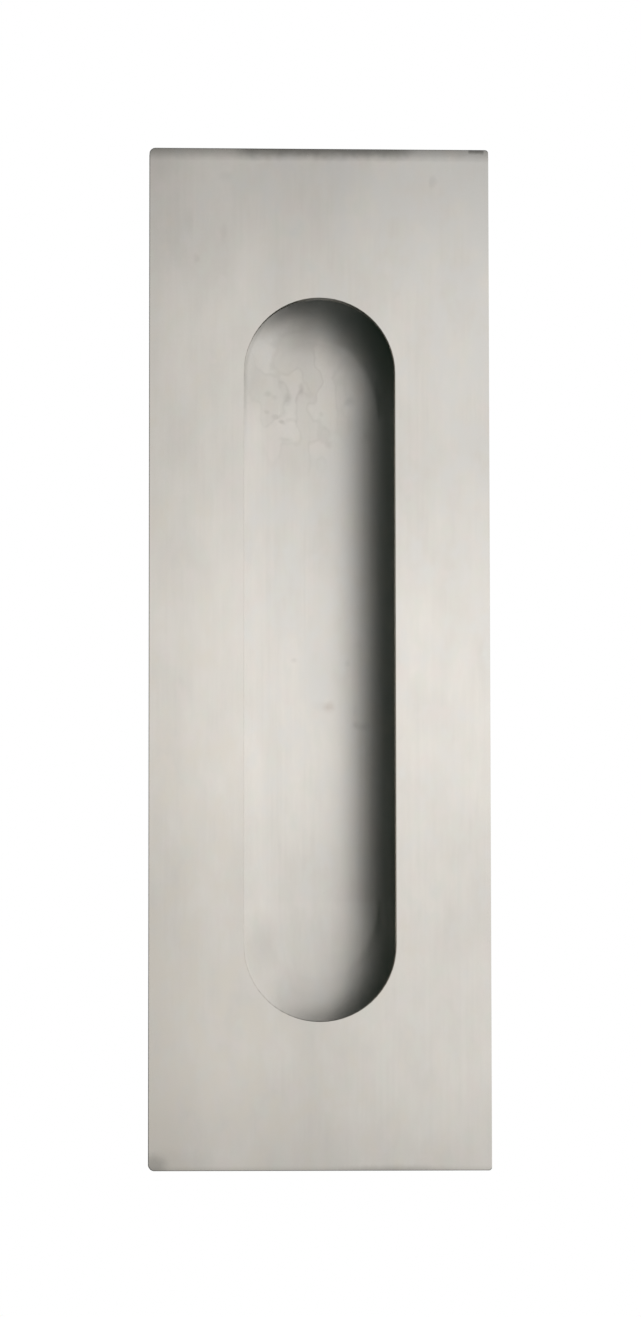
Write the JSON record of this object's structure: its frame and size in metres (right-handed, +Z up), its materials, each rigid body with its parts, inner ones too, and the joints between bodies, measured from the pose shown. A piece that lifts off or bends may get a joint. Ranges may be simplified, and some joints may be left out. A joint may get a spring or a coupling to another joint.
{
  "type": "flush pull",
  "caption": "Rectangular flush pull with a round-ended dished finger recess in its face and tapped fixing bosses on its back, for sliding doors and drawers.",
  "frame": {"origin": "centre of the plate's back, in the plane that seats on the door", "axes": "+Z up along the plate's length, +Y into the door, so the face looks along -Y, +X to the right seen from the front"},
  "size_m": [0.05, 0.0075, 0.15],
  "materials": {
    "satin_stainless": "satin, brushed along the length"
  },
  "bodies": {
    "root": {"pull_body": "satin_stainless"}
  },
  "joints": []
}
